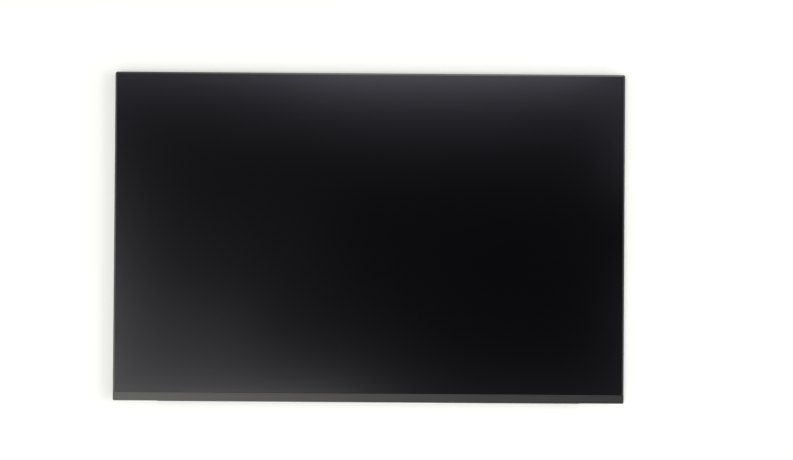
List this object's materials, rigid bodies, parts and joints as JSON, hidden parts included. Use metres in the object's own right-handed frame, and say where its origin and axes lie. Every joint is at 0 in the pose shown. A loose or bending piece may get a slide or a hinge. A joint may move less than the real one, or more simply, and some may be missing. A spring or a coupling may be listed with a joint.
{
  "type": "laptop screen panel",
  "caption": "Bare slim laptop display panel: matt black face, dark band along the bottom edge, taped edges, metal back plate and a driver board with a video socket behind.",
  "frame": {"origin": "middle of the outline seen from the front, level with the rearmost point, the video socket's back", "axes": "+X to the right and +Y to the top of the picture, +Z out of the picture; it lies on its back"},
  "size_m": [0.3054, 0.197, 0.004],
  "materials": {
    "matt_face_film": "matt anti-glare",
    "screen_glass": "polished",
    "polarizer_film": "smooth film",
    "black_tape": "matt film tape",
    "foam_bonding_tape": "double-sided tape",
    "frame_plastic": "moulded",
    "optical_sheet": "satin film",
    "light_guide": "clear, dotted",
    "white_reflector": "white film",
    "light_bar_flex": "white flexible circuit",
    "lamp_package": "white package with phosphor",
    "plate_metal": "rolled satin",
    "circuit_board": "green solder mask",
    "amber_flex": "polyimide film",
    "chip_resin": "moulded resin",
    "bare_silicon": "bare die",
    "ferrite": "sintered",
    "capacitor_ceramic": "ceramic with tinned ends",
    "resistor_ceramic": "glazed with tinned ends",
    "socket_plastic": "moulded",
    "contact_metal": "gold plated",
    "socket_shell": "tinned steel",
    "grounding_foil": "foil"
  },
  "bodies": {
    "root": {"array_glass": "screen_glass", "back_plate": "plate_metal", "backlight_driver": "chip_resin", "board_bonding_tape": "foam_bonding_tape", "bottom_cover_tape": "black_tape", "capacitors": "capacitor_ceramic", "cell_bonding_tape": "foam_bonding_tape", "color_filter_glass": "screen_glass", "diffuser_sheet": "optical_sheet", "diodes": "chip_resin", "driver_board": "circuit_board", "front_polarizer": "matt_face_film", "gamma_buffer": "chip_resin", "inductor_1": "ferrite", "inductor_2": "ferrite", "left_edge_tape": "black_tape", "left_grounding_foil": "grounding_foil", "light_bar_flex": "light_bar_flex", "light_bar_lamps": "lamp_package", "light_bar_tape": "foam_bonding_tape", "light_guide_plate": "light_guide", "lower_prism_sheet": "optical_sheet", "memory_chip": "chip_resin", "moulded_frame": "frame_plastic", "power_manager": "chip_resin", "rear_polarizer": "polarizer_film", "reflector_sheet": "white_reflector", "resistors": "resistor_ceramic", "right_edge_tape": "black_tape", "right_grounding_foil": "grounding_foil", "source_driver_1": "bare_silicon", "source_driver_2": "bare_silicon", "source_driver_3": "bare_silicon", "source_driver_4": "bare_silicon", "source_flex_1": "amber_flex", "source_flex_2": "amber_flex", "source_flex_3": "amber_flex", "source_flex_4": "amber_flex", "timing_controller": "chip_resin", "top_edge_tape": "black_tape", "upper_prism_sheet": "optical_sheet", "video_socket_contacts": "contact_metal", "video_socket_housing": "socket_plastic", "video_socket_shell": "socket_shell"}
  },
  "joints": []
}
